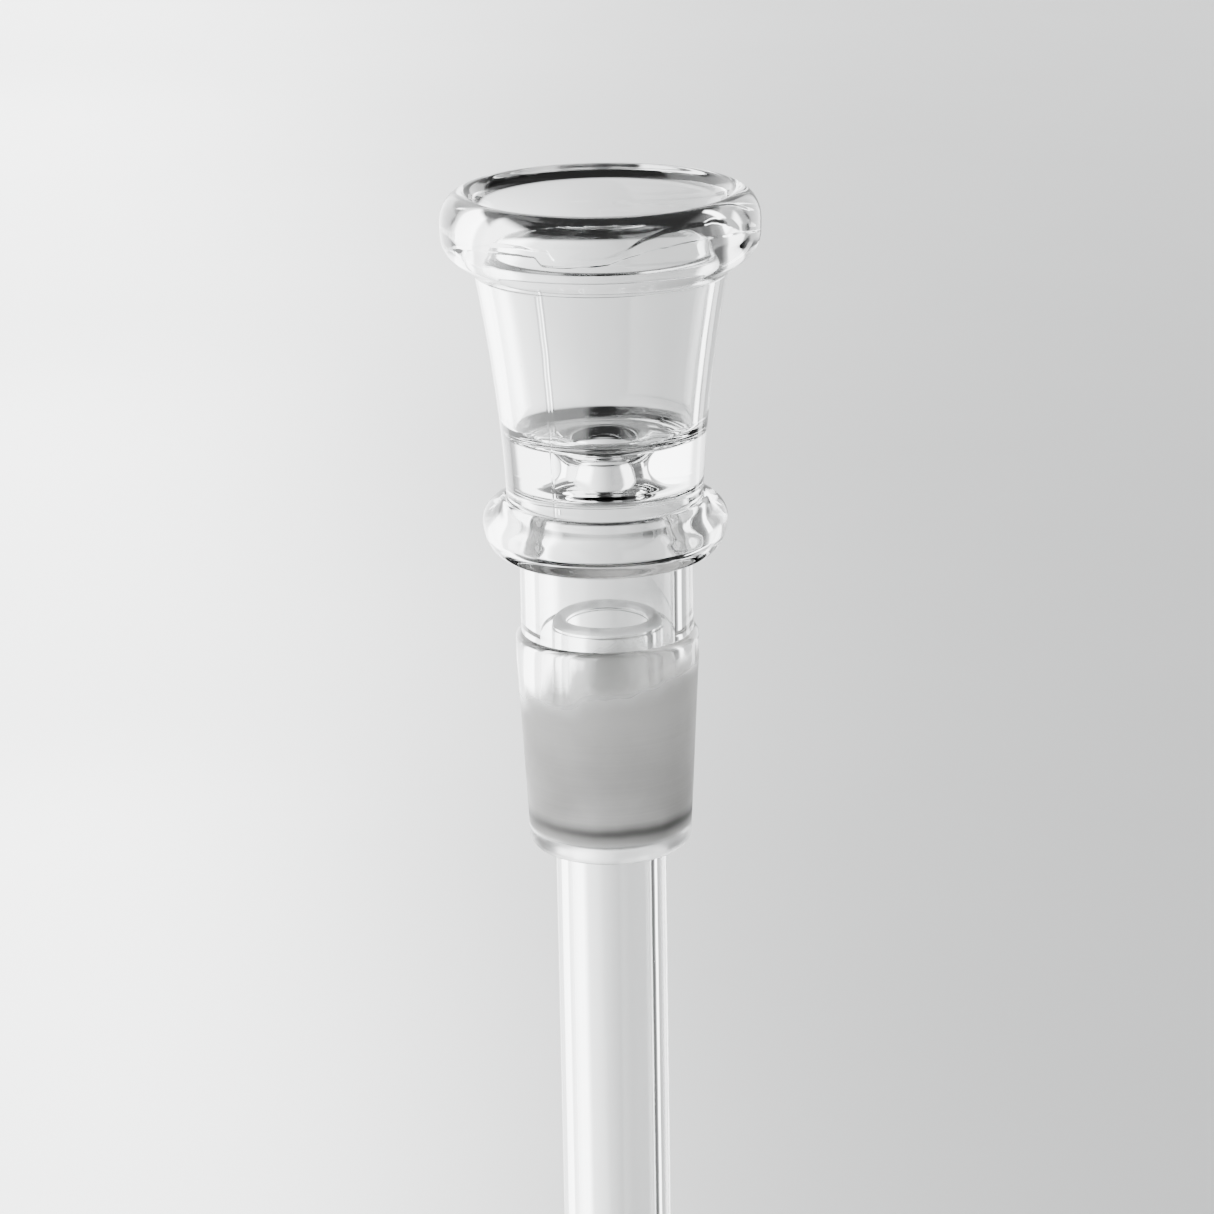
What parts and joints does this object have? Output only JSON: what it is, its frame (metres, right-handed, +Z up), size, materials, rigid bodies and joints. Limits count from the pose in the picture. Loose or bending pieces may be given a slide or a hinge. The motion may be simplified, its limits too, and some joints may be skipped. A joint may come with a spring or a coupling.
{
  "type": "glass funnel",
  "caption": "Clear glass funnel: flared cup with a beaded lip and a holed floor, grip ring, neck, tapered ground cone and a long plain stem.",
  "frame": {"origin": "centre of the ground cone's gauge plane, where the ground taper is 18.8 mm across", "axes": "+Z up the funnel's axis, from the stem's open end towards the cup's rim"},
  "size_m": [0.0324, 0.0324, 0.1453],
  "materials": {
    "clear_glass": "fire-polished clear borosilicate",
    "ground_glass": "fine-ground matt taper below a clear head"
  },
  "bodies": {
    "root": {"rim_bead": "clear_glass", "cup_wall": "clear_glass", "cup_floor": "clear_glass", "grip_ring": "clear_glass", "neck_tube": "clear_glass", "ground_cone": "ground_glass", "stem_seal": "clear_glass", "stem_tube": "clear_glass"}
  },
  "joints": []
}
